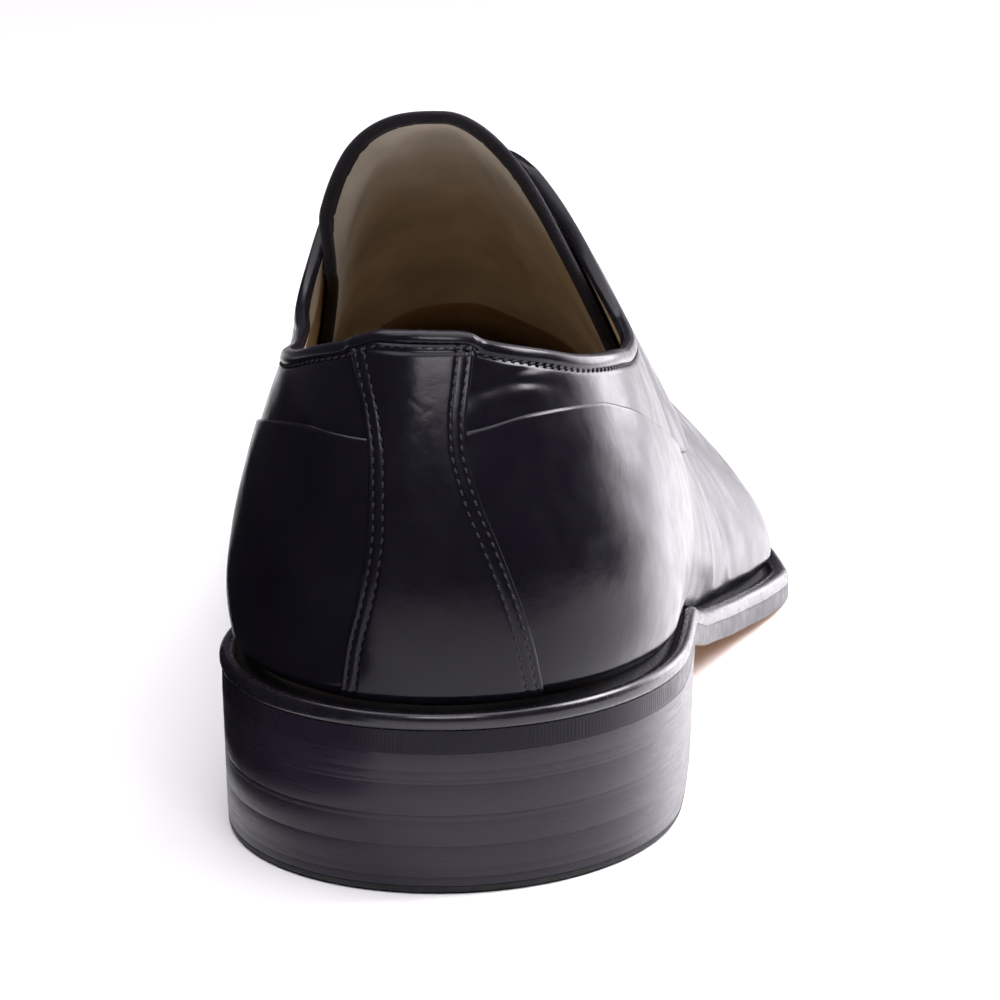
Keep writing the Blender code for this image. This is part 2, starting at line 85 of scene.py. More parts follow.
# Smooth curve through a row of values that never overshoots them
def through(places, values, at, flatEnds=False):
    places, values = np.array(places, float), np.array(values, float)
    steps = np.diff(places)
    rates = np.diff(values) / steps
    tilt = np.zeros(len(places))
    for k in range(1, len(places) - 1):
        if rates[k - 1] * rates[k] > 0:
            near, far = 2 * steps[k] + steps[k - 1], steps[k] + 2 * steps[k - 1]
            tilt[k] = (near + far) / (near / rates[k - 1] + far / rates[k])
    if not flatEnds:
        tilt[0], tilt[-1] = rates[0], rates[-1]
    at = np.clip(np.asarray(at, float), places[0], places[-1])
    k = np.clip(np.searchsorted(places, at) - 1, 0, len(places) - 2)
    span = places[k + 1] - places[k]
    t = (at - places[k]) / span
    rise = t * t * (3 - 2 * t)
    return (blend(values[k], values[k + 1], rise)
            + t * (1 - t) ** 2 * span * tilt[k] + t * t * (t - 1) * span * tilt[k + 1])


def lastValue(name, at):
    return through(last["y"], last[name], at, flatEnds=True)


def soleUnder(y):
    return through(bottomStack["y"], bottomStack["under"], y)


def soleMargin(y):
    return through(bottomStack["y"], bottomStack["margin"], y)


def weltUnder(y):
    return soleUnder(y) + bottomStack["soleThick"] + bottomStack["gap"]


def feather(y):
    return weltUnder(y) + bottomStack["weltThick"] + bottomStack["gap"]


def smoothStep(low, high, value):
    t = np.clip((np.asarray(value, float) - low) / (high - low), 0, 1)
    return t * t * (3 - 2 * t)


# Height of a rounded edge, 0 at the rim and 1 from the end of the rounding on
def edgeArc(share):
    return np.sqrt(np.clip(1 - (1 - np.clip(share, 0, 1)) ** 2, 0, 1))


# Quarter turns at heel and toe and the place along the last, for a station
def turnsAt(station):
    heel = np.clip(station / last["heelQuarter"], 0, 1) * np.pi / 2
    toe = np.clip((station - sideEnd) / last["toeQuarter"], 0, 1) * np.pi / 2
    along = last["heelCentre"] + np.clip(station - sideStart, 0, last["toeCentre"] - last["heelCentre"])
    return heel, toe, along


# Flat chart of the upper: share 0 on the ridge, 1 on the feather line
def chart(station, share, side):
    station, share = np.broadcast_arrays(np.asarray(station, float), np.asarray(share, float))
    heel, toe, along = turnsAt(station)
    across = side * share * last["spread"] * np.sin(heel) * np.cos(toe)
    beyond = share * last["spread"] * (np.sin(toe) - np.cos(heel) * (station < sideStart))
    return np.stack([across, along + beyond], axis=-1)


# Outer surface of the upper at a place on the chart
def lastPoint(place):
    across, down = place[..., 0], place[..., 1]
    along = np.clip(down, last["heelCentre"], last["toeCentre"])
    beyond = down - along
    reach = np.maximum(np.hypot(across, beyond), 1e-9)
    lift = (1 - np.clip(reach / last["spread"], 0, 1)) * np.pi / 2
    outer = across >= 0
    steep = np.where(outer, lastValue("lateralSide", along), lastValue("medialSide", along))
    towardToe = np.clip(beyond / reach, 0, 1) ** 2
    steep = blend(steep, last["toeSide"], towardToe)
    wide = np.clip(np.cos(lift), 0, 1) ** (2 / last["crown"])
    high = np.clip(np.sin(lift), 0, 1) ** (2 / steep)
    belly = last["bellyScale"] * high * (1 - high) ** last["bellyPower"]
    half = np.where(outer, lastValue("lateral", along), lastValue("medial", along))
    half = half * wide + lastValue("bulge", along) * belly
    full = last["heelFullness"]
    rear = last["heelReach"] * np.clip(1 - high ** full, 0, 1) ** (1 / full) + last["heelBulge"] * belly
    front = last["toeReach"] * wide + last["toeBulge"] * belly
    y = along + np.where(beyond < 0, rear, front) * beyond / reach
    z = blend(feather(y), through(last["ridgeY"], last["ridgeZ"], y), high)
    swing = last["toeSwing"] * wide * np.clip(beyond / reach, 0, 1) ** last["toeSwingPower"]
    x = lastValue("lean", along) * high ** 2 + swing + half * across / reach
    return np.stack([x, y, z], axis=-1)


def lastNormal(place):
    right, ahead = np.array([last["probe"], 0.0]), np.array([0.0, last["probe"]])
    a = lastPoint(place + right) - lastPoint(place - right)
    b = lastPoint(place + ahead) - lastPoint(place - ahead)
    return unit(np.cross(a, b))


def shell(place, off):
    off = np.broadcast_to(np.asarray(off, float), place.shape[:-1])
    return lastPoint(place) + lastNormal(place) * off[..., None]


# Share on each station where a test changes from true near the ridge to false near the feather line
def shareWhere(count, test, halvings=40):
    low, high = np.zeros(count), np.ones(count)
    for _ in range(halvings):
        middle = (low + high) / 2
        inside = test(middle)
        low, high = np.where(inside, middle, low), np.where(inside, high, middle)
    return (low + high) / 2


def shareAtHeight(station, height, side):
    return shareWhere(len(station), lambda s: lastPoint(chart(station, s, side))[:, 2] > height)


def shareBesideRidge(station, gap, side):
    centre = lastPoint(chart(station, np.zeros(len(station)), side))[:, 0]
    return shareWhere(len(station), lambda s: np.abs(lastPoint(chart(station, s, side))[:, 0] - centre) < gap)


# Length covered so far along each row of points
def runAlong(points, axis=0):
    run = np.cumsum(np.linalg.norm(np.diff(points, axis=axis), axis=-1), axis=axis)
    return np.concatenate([np.zeros_like(np.take(run, [0], axis=axis)), run], axis=axis)


def readAlong(at, run, values):
    return np.stack([np.interp(at, run, values[:, k]) for k in range(values.shape[1])], axis=1)


def evenPath(path, count):
    run = runAlong(path)
    return readAlong(np.linspace(0, run[-1], count + 1), run, path)


def joinPath(pieces):
    parts = [evenPath(piece, count)[:-1] for piece, count in zip(pieces, upper["columns"])]
    return np.concatenate(parts + [pieces[-1][-1:]])


# Millimetres on the last to metres in the shared frame
def toFrame(points):
    points = np.asarray(points, float)
    c, s = math.cos(last["turn"]), math.sin(last["turn"])
    x = points[..., 0] * c + points[..., 1] * s - last["planMiddle"][0]
    y = points[..., 1] * c - points[..., 0] * s - last["planMiddle"][1]
    return np.stack([x, y, points[..., 2]], axis=-1) * millimetre


def addObject(name, data):
    made = bpy.data.objects.new(name, data)
    bpy.context.scene.collection.objects.link(made)
    return made


# Mesh object from points in millimetres, with faces turned outwards and sharp edges kept
def makePiece(name, points, faces, used, faceKinds=None, sharp=40, weld=0.004):
    mesh = bpy.data.meshes.new(name)
    mesh.from_pydata(toFrame(points).reshape(-1, 3).tolist(), [], faces)
    for finish in used:
        mesh.materials.append(finishes[finish])
    if faceKinds is not None:
        mesh.polygons.foreach_set("material_index", np.asarray(faceKinds, dtype=np.int32).reshape(-1))
    shape = bmesh.new()
    shape.from_mesh(mesh)
    bmesh.ops.remove_doubles(shape, verts=shape.verts, dist=weld * millimetre)
    bmesh.ops.recalc_face_normals(shape, faces=shape.faces)
    shape.to_mesh(mesh)
    shape.free()
    mesh.shade_smooth()
    mesh.set_sharp_from_angle(angle=math.radians(sharp))
    return addObject(name, mesh)


# Faces between two rows of points, given by their first points
def quads(here, there, length, closed=True):
    return [(here + c, here + (c + 1) % length, there + (c + 1) % length, there + c)
            for c in range(length if closed else length - 1)]


# Faces of a grid of rows that closes round its section
def ringFaces(rows, closedAlong):
    turns, length = rows.shape[:2]
    faces = []
    for r in range(turns):
        faces += quads(r * length, (r + 1) % turns * length, length, closedAlong)
    if not closedAlong:
        faces.append(tuple(r * length for r in range(turns)))
        faces.append(tuple(r * length + length - 1 for r in reversed(range(turns))))
    return faces


# Faces of a stack of outlines, with both ends closed by ladders from side to side
def plateFaces(rows):
    layers, length = rows.shape[:2]
    faces = []
    for r in range(layers - 1):
        faces += quads(r * length, (r + 1) * length, length)
    for base in (0, (layers - 1) * length):
        for c in range(length // 2):
            corners = [base + c, base + (length - c) % length, base + length - c - 1, base + c + 1]
            faces.append(tuple(k for n, k in enumerate(corners) if k not in corners[:n]))
    return faces


# Stations from the heel to the last mark, each stretch between two marks cut evenly
def stations(marks, counts):
    parts = [np.linspace(a, b, n + 1)[:-1] for a, b, n in zip(marks[:-1], marks[1:], counts)]
    return np.concatenate(parts + [[marks[-1]]])


# Plan outline of the bottom, grown outwards
def outline(grow, marks, counts):
    station = stations(marks, counts)
    heel, toe, along = turnsAt(station)
    rear = (last["heelReach"] + grow(0.0)) * np.cos(heel) * (station < sideStart)
    front = (last["toeReach"] + grow(last["toeCentre"] + last["toeReach"])) * np.sin(toe)
    y = along - rear + front
    sides = []
    for side in (1, -1):
        half = lastValue("lateral" if side > 0 else "medial", along) + grow(y)
        swing = last["toeSwing"] * np.sin(toe) ** last["toeSwingPower"]
        x = side * half * np.sin(heel) * np.cos(toe) + swing
        sides.append(np.stack([x, y], axis=1))
    return np.concatenate([sides[0], sides[1][-2:0:-1]])


def atHeight(plan, height):
    return np.concatenate([plan, np.broadcast_to(height, plan.shape[:1])[:, None]], axis=1)


# Slow unevenness of worked leather, the same on every run
def unevenness(points):
    x, y, z = points[..., 0], points[..., 1], points[..., 2]
    return (np.sin(x * 0.21 + y * 0.13 + 1.3) * np.sin(z * 0.17 - y * 0.09 + 0.4)
            + 0.6 * np.sin(x * 0.37 - y * 0.29 + z * 0.23 + 2.1)
            + 0.4 * np.sin(y * 0.51 + z * 0.44 - x * 0.33 + 0.7)) / 2.0


# Materials
def newMaterial(name):
    made = bpy.data.materials.new(name)
    made.use_nodes = True
    return made, made.node_tree, made.node_tree.nodes["Principled BSDF"]


# Inputs of a node, each a value or another node's output
def setInputs(tree, node, inputs):
    for name, value in inputs.items():
        if isinstance(value, bpy.types.NodeSocket):
            tree.links.new(value, node.inputs[name])
        else:
            node.inputs[name].default_value = value


def addNode(tree, kind, inputs):
    node = tree.nodes.new(kind)
    setInputs(tree, node, inputs)
    return node


def addNoise(tree, scale, detail, stretch=None):
    where = tree.nodes.new("ShaderNodeTexCoord").outputs["Object"]
    if stretch:
        where = addNode(tree, "ShaderNodeMapping", {"Vector": where, "Scale": stretch}).outputs["Vector"]
    return addNode(tree, "ShaderNodeTexNoise", {"Vector": where, "Scale": scale, "Detail": detail}).outputs["Fac"]


def addRamp(tree, source, places, colours):
    ramp = addNode(tree, "ShaderNodeValToRGB", {"Fac": source})
    for element, place, colour in zip(ramp.color_ramp.elements, places, colours):
        element.position = place
        element.color = (*colour, 1.0)
    return ramp.outputs["Color"]


noise = {"slow": 60, "slowDetail": 3, "grainDetail": 4, "wornDetail": 5, "ramp": (0.3, 0.7)}


# Leather-like finish: a slow noise drives colour, a fine one gloss and grain; worn adds broad unevenness
def leather(name, dark, light, rough, grain, sheen=0.0, stretch=None, level=0.5, worn=None):
    made, tree, shader = newMaterial(name)
    slow = addNoise(tree, noise["slow"], noise["slowDetail"])
    height = addNoise(tree, grain[0], noise["grainDetail"], stretch)
    if worn:
        broad = addNoise(tree, worn[0], noise["wornDetail"])
        both = addNode(tree, "ShaderNodeMath", {0: height, 1: worn[1], 2: broad})
        both.operation = "MULTIPLY_ADD"
        height = both.outputs[0]
    bump = addNode(tree, "ShaderNodeBump", {"Strength": grain[1], "Distance": grain[2], "Height": height})
    setInputs(tree, shader, {
        "Base Color": addRamp(tree, slow, noise["ramp"], (dark, light)),
        "Roughness": addRamp(tree, height, noise["ramp"], [(k,) * 3 for k in rough]),
        "Normal": bump.outputs["Normal"], "Specular IOR Level": level, "Sheen Weight": sheen,
    })
    return made


finishes = {
    "calf": leather("blackCalf", (0.0028, 0.0022, 0.0044), (0.0046, 0.0037, 0.007), (0.17, 0.27),
                    (2400, 1.0, 0.00008), level=0.19, worn=(230, 0.06)),
    # seam's cut edge: the light grey is a painted highlight, the light the edge catches
    "seamEdgeHighlight": leather("seamEdgeHighlight", (0.13, 0.12, 0.14), (0.22, 0.21, 0.23), (0.45, 0.6), (2400, 0.3, 0.0001)),
    # Lining pale by the rim and tan deeper in: partly a lighter top band of lining, partly painted light falling
    # in by the rim and painted shade deeper inside
    "paleLitLining": leather("paleLitLining", (0.6, 0.55, 0.46), (0.72, 0.67, 0.57), (0.7, 0.85),
                          (1500, 0.2, 0.0003), level=0.25),
    "tanShadedLining": leather("tanShadedLining", (0.36, 0.25, 0.13), (0.48, 0.35, 0.2), (0.55, 0.75),
                         (1200, 0.15, 0.0003), level=0.3),
    "tongueLining": leather("oliveLining", (0.36, 0.33, 0.27), (0.56, 0.52, 0.43), (0.75, 0.9),
                            (1300, 0.25, 0.0003), sheen=0.1, level=0.2),
    "band": leather("feltedEdge", (0.005, 0.0045, 0.006), (0.012, 0.011, 0.014), (0.75, 0.95),
                    (3000, 0.5, 0.0005), sheen=0.06, level=0.1),
    "sock": leather("tanSock", (0.3, 0.2, 0.1), (0.42, 0.29, 0.16), (0.45, 0.65), (900, 0.15, 0.0003)),
    "welt": leather("polishedWelt", (0.004, 0.0033, 0.0058), (0.0075, 0.0062, 0.0105), (0.16, 0.28),
                    (1500, 1.0, 0.00002), level=0.42, worn=(420, 0.25)),
    "weltTop": leather("mattWelt", (0.004, 0.0036, 0.005), (0.008, 0.0072, 0.0095), (0.5, 0.7),
                       (900, 0.2, 0.0003), level=0.12),
    "soleEdge": leather("inkedEdge", (0.006, 0.0047, 0.009), (0.01, 0.008, 0.0145), (0.26, 0.38),
                        (1300, 1.0, 0.00001), level=0.12, worn=(420, 0.2)),
    "soleUnder": leather("soleLeather", (0.34, 0.19, 0.1), (0.45, 0.27, 0.15), (0.5, 0.7),
                         (500, 0.15, 0.0003)),
    "stack": leather("inkedStack", (0.007, 0.0048, 0.0108), (0.012, 0.0085, 0.018), (0.26, 0.38),
                     (420, 0.03, 0.0001), stretch=(0.35, 0.35, 7), level=0.32),
    "rubber": leather("blackRubber", (0.006, 0.006, 0.007), (0.012, 0.012, 0.013), (0.6, 0.75),
                      (900, 0.2, 0.0002), level=0.3),
    "thread": leather("waxedThread", (0.007, 0.006, 0.0092), (0.016, 0.0142, 0.02), (0.45, 0.6),
                      (4000, 0.2, 0.0001), level=0.22),
    "hole": leather("punchedHole", (0.002, 0.002, 0.002), (0.004, 0.004, 0.004), (0.8, 0.9),
                    (900, 0.1, 0.0002), level=0.05),
}
print("finishes made", len(finishes))


# Hourglass strip over the back seam
strip = {
    "height": (27, 36, 41, 46, 51, 56, 60, 64, 68, 73, 78, 82),
    "halfWidth": (14.6, 13.2, 11.9, 10.5, 9.2, 8.1, 7.5, 7.1, 7.3, 8.2, 9.1, 9.7),
    "middle": (3.2, 3.2, 3.2, 2.9, 2.3, 1.3, 0.6, 0.0, -0.45, -1.0, -1.5, -1.8),
    "inside": 0.05, "thick": 0.75, "edgeRound": 0.5, "edgeShare": 0.4, "uneven": 0.06,
    "topClear": 1.4, "footClear": 0.3, "up": 190, "coverFade": (-1.5, 0.6),
    # height, place across, slant, half length, depth
    "scuffs": ((70.6, -1.6, 0.9, 1.4, 0.035), (70.2, 0.6, -0.7, 1.2, 0.03), (69.2, 1.9, 0.5, 0.9, 0.025),
               (68.3, -2.6, -0.3, 1.0, 0.025), (66.4, 0.4, 1.2, 0.8, 0.02)),
    "scuffWide": 0.35, "scuffEnds": (0.5, 1.0),
    # distances from the edge where the sheet is drawn
    "insets": (0.0, 0.06, 0.15, 0.28, 0.45, 0.62, 0.78, 0.9, 1.02,
               1.18, 1.4, 1.75, 2.0, 2.18, 2.3, 2.42, 2.6, 2.9),
    "middleSteps": 27, "rows": (0.9, 2.3), "rowDeep": 0.16, "rowWide": 0.22,
    # groove of the collar's stitches, and the thin top end
    "lineDrop": 0.3, "lineDeep": 0.22, "lineWide": 0.45, "topThin": 0.3, "topFade": 0.6,
}


def stripPlace(z, reach):
    share = shareAtHeight(np.zeros(1), np.array([z]), 1)[0]
    wide = lastPoint(chart(last["heelQuarter"], share, 1))[0] - lastPoint(chart(0.0, share, 1))[0]
    station = np.arcsin(np.clip(np.abs(reach) / wide, 0, 1)) / (np.pi / 2) * last["heelQuarter"]
    return chart(station, np.full(len(reach), share), np.where(reach < 0, -1.0, 1.0))


def stripEdge(z):
    return through(strip["height"], strip["middle"], z), through(strip["height"], strip["halfWidth"], z)


# How far a place on the upper lies under the strip: 1 under it, 0 beside it
def stripCover(place):
    back = place[:, 1] - last["heelCentre"]
    share = np.hypot(place[:, 0], np.minimum(back, 0)) / last["spread"]
    point = lastPoint(place)
    reach = point[:, 0] - lastPoint(chart(np.zeros(len(place)), share, 1))[:, 0]
    middle, half = stripEdge(point[:, 2])
    return smoothStep(*strip["coverFade"], half - np.abs(reach - middle)) * (back < 0)


# Upper: lower panel, quarters, rolled collar and lining as one closed wall
upper = {
    "wall": 2.0, "columns": (84, 26, 30, 100),
    "lowerRows": 60, "quarterRows": 36, "innerRows": 22, "rollRows": 9, "lowerBias": 1.15, "quarterBias": 1.7,
    "samples": 120, "longSamples": 160, "facingSamples": 80, "facingPasses": 24,
    "columnSamples": 24, "columnLeast": 0.5,
    # rows beside the seam: how far, the most of a column that they take, and the rounding of the cut edge
    "edgeRows": (2.4, 1.5, 0.9, 0.5, 0.25, 0.1, 0.0), "edgeMost": (0.4, 0.3),
    "edgeShare": 0.62, "edgeRound": 0.25,
    "seamStep": 0.6, "facingStep": 1.2, "panelFade": (1.0, 15.0), "rimRise": 0.75, "rimProbe": 0.2,
    "uneven": 0.1, "calmFade": (0.5, 6), "beadMiddle": 0.75, "beadHalf": 0.9, "beadProud": 0.3,
    "beadFade": (3.0, 8.0), "grooveDeep": 0.25, "grooveWide": 0.4, "stitchLine": 2.05,
    # paleShare: share of the inner rows below the rim painted pale, partly as painted light
    "stripLift": 0.6, "stripRise": 0.2, "stripFade": (1.1, 1.7), "paleShare": 0.55,
    "footTuck": 1.2, "sideTuck": 0.5, "footHigh": 2.4, "tuckFade": (8, 50), "tabLift": 0.7, "tabLong": 6.0,
    # columns over which steps grow and fade
    "frontFade": 14, "seamFade": 12, "tabGrow": (-12, 2), "tabFade": (8, 34), "seamHighlightEnd": -4,
    "sideMark": 84.0, "featherMark": 112.0, "tabMark": 104.0, "cornerMark": 111.0,
    "frontBow": 0.62, "quarterPoint": 155.5, "throatEnd": 152.0,
    "toplineStation": (0, 9, 15, 28, 38, 55, 69, 83, 91, 97, 102, 106, 111),
    "toplineLateral": (79.6, 79.4, 78.2, 75.8, 73.6, 71, 68.8, 67.8, 69, 72.4, 77.4, 83.2, 89.4),
    "toplineMedial": (79.6, 79.4, 78.2, 75.6, 73.2, 70.6, 68.8, 68, 68.8, 70.6, 73.4, 77.2, 83),
    "seamStation": (0, 10, 23, 37, 47, 58, 72, 88, 104),
    "seamLateral": (65.6, 66.6, 68, 67.2, 64.5, 60.2, 55.8, 50.2, 45),
    "seamMedial": (65.6, 65.2, 65.4, 63.6, 61.4, 58.5, 55, 50, 45),
    "facingY": (112, 124, 138, 148), "facingGap": (8.5, 6.8, 5.2, 4.5),
    # side, y and z of both ends, depth, width
    "creases": (
        (1, 131, 42, 136, 16, 0.3, 3.2), (1, 143, 42, 149, 14, 0.42, 3.4), (1, 156, 38, 161, 13, 0.3, 3.6),
        (-1, 134, 44, 140, 18, 0.3, 3.2), (-1, 148, 42, 154, 18, 0.35, 3.4), (-1, 162, 38, 167, 16, 0.25, 3.4),
        (1, 8, 70.2, 20, 71.6, 0.16, 0.7), (1, 12, 72.2, 24, 73.0, 0.12, 0.7),
    ),
    "creaseBow": 1.4, "creaseFade": 0.3,
    # ridge beside a crease: share of its depth, then distance and width in its widths
    "creaseRidge": (0.55, 2.4, 1.5),
}


def heightPiece(kind, start, finish, side):
    station = np.linspace(start, finish, upper["samples"])
    name = kind + ("Lateral" if side > 0 else "Medial")
    height = through(upper[kind + "Station"], upper[name], station)
    return chart(station, shareAtHeight(station, height, side), side)


def stretches(make, *ends):
    marks = (0.0, last["heelQuarter"], upper["sideMark"], *ends)
    return [make(a, b) for a, b in zip(marks[:-1], marks[1:])]


def featherPath(side):
    def stretch(a, b):
        return chart(np.linspace(a, b, upper["longSamples"]), 1.0, side)
    return joinPath(stretches(stretch, upper["featherMark"], toeStation))


def seamPath(side):
    pieces = stretches(lambda a, b: heightPiece("seam", a, b, side), upper["tabMark"])
    corner, point, bend = pieces[-1][-1], np.array([0.0, upper["quarterPoint"]]), upper["frontBow"]
    bow = np.array([corner[0] * bend, blend(corner[1], point[1], bend)])
    t = np.linspace(0, 1, upper["longSamples"])[:, None]
    return joinPath(pieces + [(1 - t) ** 2 * corner + 2 * t * (1 - t) * bow + t * t * point])


def rimPath(side):
    pieces = stretches(lambda a, b: heightPiece("topline", a, b, side), upper["cornerMark"])
    y = np.linspace(upper["facingY"][0], upper["facingY"][-1], upper["facingSamples"])
    station = sideStart + y - last["heelCentre"]
    gap = through(upper["facingY"], upper["facingGap"], y)
    facing = chart(station, shareBesideRidge(station, gap, side), side)
    front = np.concatenate([pieces[-1][-1:], facing, [[0.0, upper["throatEnd"]]]])
    front = evenPath(front, upper["longSamples"])
    for _ in range(upper["facingPasses"]):
        front[1:-1] = (front[:-2] + 2 * front[1:-1] + front[2:]) / 4
    return joinPath(pieces + [front])


def bothSides(path):
    return np.concatenate([path(1), path(-1)[-2:0:-1]])


def columnLength(a, b):
    t = np.linspace(0, 1, upper["columnSamples"])[:, None, None]
    points = lastPoint(blend(a, b, t))
    return np.maximum(np.linalg.norm(np.diff(points, axis=0), axis=2).sum(axis=0), upper["columnLeast"])


upperBottom, upperSeam, upperTop = bothSides(featherPath), bothSides(seamPath), bothSides(rimPath)
lowLength, topLength = columnLength(upperBottom, upperSeam), columnLength(upperSeam, upperTop)
columnCount = len(upperBottom)
columnIndex = np.minimum(np.arange(columnCount), columnCount - np.arange(columnCount))
tabColumn = sum(upper["columns"][:3])
fromTab = columnIndex - tabColumn
throatFade = 1 - smoothStep(columnCount // 2 - upper["frontFade"], columnCount // 2, columnIndex)
frontStep = upper["facingStep"] * smoothStep(-upper["frontFade"], 0, fromTab) * throatFade
tabStep = upper["tabLift"] * smoothStep(*upper["tabGrow"], fromTab)
tabStep = tabStep * (1 - smoothStep(*upper["tabFade"], fromTab))


def creaseDepth(points):
    x, y, z = points[..., 0], points[..., 1], points[..., 2]
    total = np.zeros(x.shape)
    fade, (ridge, away, spread) = upper["creaseFade"], upper["creaseRidge"]
    for side, y0, z0, y1, z1, deep, wide in upper["creases"]:
        run = math.hypot(y1 - y0, z1 - z0)
        ay, az = (y1 - y0) / run, (z1 - z0) / run
        along = ((y - y0) * ay + (z - z0) * az) / run
        bowed = (y - y0) * az - (z - z0) * ay + upper["creaseBow"] * np.sin(np.clip(along, 0, 1) * np.pi)
        ends = smoothStep(-fade, fade, along) * (1 - smoothStep(1 - fade, 1 + fade, along))
        fold = bell(bowed / wide) - ridge * bell((bowed - away * wide) / (spread * wide))
        total += np.where(x * side > 0, deep * fold * ends, 0.0)
    return total


# Leather drawn in just above the welt, most at the back of the heel
def footTuck(flat):
    deep = blend(upper["footTuck"], upper["sideTuck"], smoothStep(*upper["tuckFade"], flat[..., 1]))
    return deep * (1 - smoothStep(0, upper["footHigh"], flat[..., 2] - feather(flat[..., 1])))


# Worked leather: offset from the last with unevenness, creases and the foot tucked in above the welt
def worked(place, off, calm=1.0):
    flat = lastPoint(place)
    return shell(place, off + upper["uneven"] * unevenness(flat) * calm - creaseDepth(flat) - footTuck(flat))


def makeUpper():
    def cutRound(away):
        return blend(upper["edgeShare"], 1, smoothStep(0.0, upper["edgeRound"], away))
    lowStep = upper["seamStep"] * (1 - smoothStep(-upper["seamFade"], 0, fromTab))
    edge, (lowMost, topMost) = np.array(upper["edgeRows"]), upper["edgeMost"]
    rows = []
    for k in range(upper["lowerRows"]):
        t = k / upper["lowerRows"]
        share = t ** upper["lowerBias"] * (1 - np.minimum(edge[0] / lowLength, lowMost))
        place = blend(upperBottom, upperSeam, share[:, None])
        away = (1 - share) * lowLength
        rows.append(worked(place, lowStep * (1 - smoothStep(*upper["panelFade"], away))))
    for away in edge:
        share = 1 - np.minimum(away / lowLength, lowMost * away / edge[0])
        place = blend(upperBottom, upperSeam, share[:, None])
        rows.append(worked(place, lowStep * cutRound(away)))
    for away in edge[::-1]:
        share = np.minimum(away / topLength, topMost * away / edge[0])
        place = blend(upperSeam, upperTop, share[:, None])
        rise = frontStep * (1 - share) + tabStep * bell(away / upper["tabLong"])
        rows.append(worked(place, rise * cutRound(away)))
    startShare = np.minimum(edge[0] / topLength, topMost)
    wideEnough = smoothStep(*upper["beadFade"], topLength)
    for k in range(1, upper["quarterRows"] + 1):
        t = 1 - (1 - k / upper["quarterRows"]) ** upper["quarterBias"]
        share = blend(startShare, 1, t)
        place = blend(upperSeam, upperTop, share[:, None])
        away = (1 - share) * topLength
        bead = 1 - ((away - upper["beadMiddle"]) / upper["beadHalf"]) ** 2
        bead = upper["beadProud"] * np.sqrt(np.clip(bead, 0, 1))
        groove = upper["grooveDeep"] * bell((away - upper["stitchLine"]) / upper["grooveWide"])
        over = upper["stripLift"] * stripCover(place) * (1 - smoothStep(*upper["stripFade"], away))
        rise = frontStep * (1 - share) + tabStep * bell(share * topLength / upper["tabLong"])
        off = rise + (bead - groove) * wideEnough + over
        rows.append(worked(place, off, smoothStep(*upper["calmFade"], away)))
    # rolled edge of the collar
    step = (upperTop - upperSeam) / topLength[:, None] * upper["rimProbe"]
    rise = unit(lastPoint(upperTop) - lastPoint(upperTop - step))
    over = stripCover(upperTop)
    outside = upper["stripLift"] * over
    for k in range(1, upper["rollRows"] + 1):
        turn = np.pi * k / (upper["rollRows"] + 1)
        off = (outside - upper["wall"]) / 2 + (outside + upper["wall"]) / 2 * math.cos(turn)
        high = (upper["rimRise"] + upper["stripRise"] * over) * math.sin(turn)
        rows.append(shell(upperTop, off) + rise * high[:, None])
    # faces: 0 outside, 1 pale lining, paler by the rim partly as painted light, 2 tan lining, partly painted
    # shade deeper in, 3 the seam's cut edge, light grey as a painted highlight
    inside = upper["innerRows"]
    kinds = [np.zeros(columnCount, int)] * (len(rows) - 1)
    # the seam's cut edge takes the light grey painted highlight, up to just short of the tab
    kinds[upper["lowerRows"] + len(edge) - 1] = np.where(fromTab < upper["seamHighlightEnd"], 3, 0)
    # inner rows: pale near the rim, partly painted light; tan further down, partly painted shade
    for k in range(inside + 1):
        place = blend(upperSeam, upperTop, 1 - k / inside)
        rows.append(shell(place, -upper["wall"]))
        kinds.append(np.full(columnCount, (1 if k < upper["paleShare"] * inside else 2) if k else 0))
    for k in range(1, inside + 1):
        place = upperSeam + (upperBottom - upperSeam) * k / inside
        rows.append(shell(place, -upper["wall"]))
        kinds.append(np.full(columnCount, 2))
    rows[-1][:, 2] = rows[0][:, 2]
    kinds.append(np.zeros(columnCount, int))
    rows = np.array(rows)
    piece = makePiece("upperShell", rows, ringFaces(rows, True),
                      ["calf", "paleLitLining", "tanShadedLining", "seamEdgeHighlight"], kinds, sharp=50)
    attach(piece, "root")
    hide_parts("upper")
    print("upper", len(rows), "rows", columnCount, "columns")


makeUpper()


